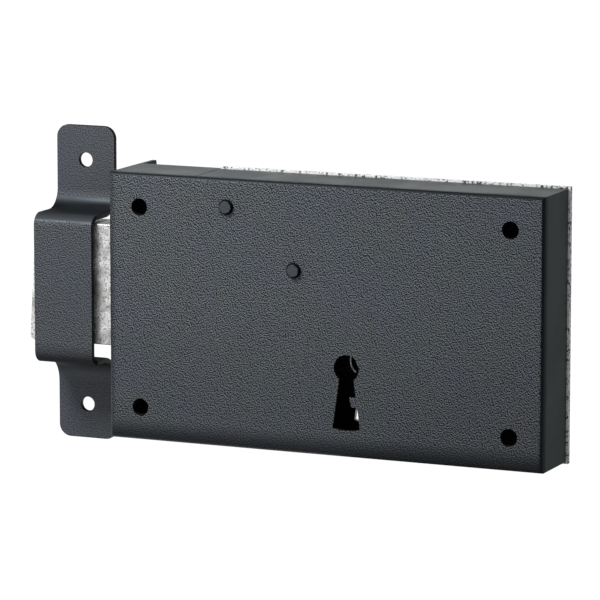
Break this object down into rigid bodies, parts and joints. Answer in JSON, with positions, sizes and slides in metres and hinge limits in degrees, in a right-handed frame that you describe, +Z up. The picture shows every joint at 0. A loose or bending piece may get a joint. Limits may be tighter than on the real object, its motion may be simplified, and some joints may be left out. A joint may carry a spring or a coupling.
{
  "type": "rim box lock",
  "caption": "Surface-mounted rectangular door lock: folded case with keyhole, forend with a side lip, square-ended sliding bolt, sprung tumbler inside, and a bent strap keep.",
  "frame": {"origin": "centre of the four-hole screw pattern, on the plane of the door that the case's back lies on", "axes": "+Z up, +X away from the keep along the bolt's slide, -Y out of the door towards the person who turns the key"},
  "size_m": [0.1648, 0.0308, 0.0941],
  "materials": {
    "black_coat": "black textured powder coat, semi-matt, with a fine orange-peel grain",
    "galvanised_sheet": "galvanised sheet with spangle, satin",
    "zinc_plate": "zinc plated, dull satin with a fine speckle",
    "bare_steel": "bare cold-rolled steel, oiled",
    "spring_steel": "tempered spring steel, grey-blue",
    "brass_washer": "plain turned brass"
  },
  "bodies": {
    "case": {"case_cover": "black_coat", "forend": "black_coat", "back_plate": "galvanised_sheet", "back_plate_screws": "zinc_plate", "screw_sleeves": "black_coat", "pivot_stud": "black_coat", "pivot_sleeve": "bare_steel", "pivot_washer": "brass_washer", "pivot_spacer": "bare_steel", "guide_stud": "black_coat", "guide_sleeve": "bare_steel", "guide_washer": "brass_washer", "guide_spacer": "bare_steel", "centre_ward": "bare_steel", "ward_rivets": "bare_steel"},
    "bolt": {"bolt_head": "zinc_plate", "bolt_tail": "bare_steel", "bolt_rivets": "zinc_plate", "bolt_stump": "bare_steel"},
    "tumbler": {"tumbler": "bare_steel", "tumbler_spring": "spring_steel"},
    "keep": {"keep": "black_coat"}
  },
  "joints": [
    {"name": "bolt_slide", "type": "slide", "parent": "case", "child": "bolt", "axis": [1, 0, 0], "range_m": [0, 0.027]},
    {"name": "tumbler_swing", "type": "hinge", "parent": "case", "child": "tumbler", "pos_m": [-0.0298, -0.0131, 0.03105], "axis": [0, 1, 0], "range_deg": [0, 6], "stiffness_Nm_per_rad": 0.3, "springref_deg": 17.19},
    {"name": "keep_off", "type": "slide", "parent": "case", "child": "keep", "axis": [-1, 0, 0], "range_m": [0, 0.045]}
  ]
}
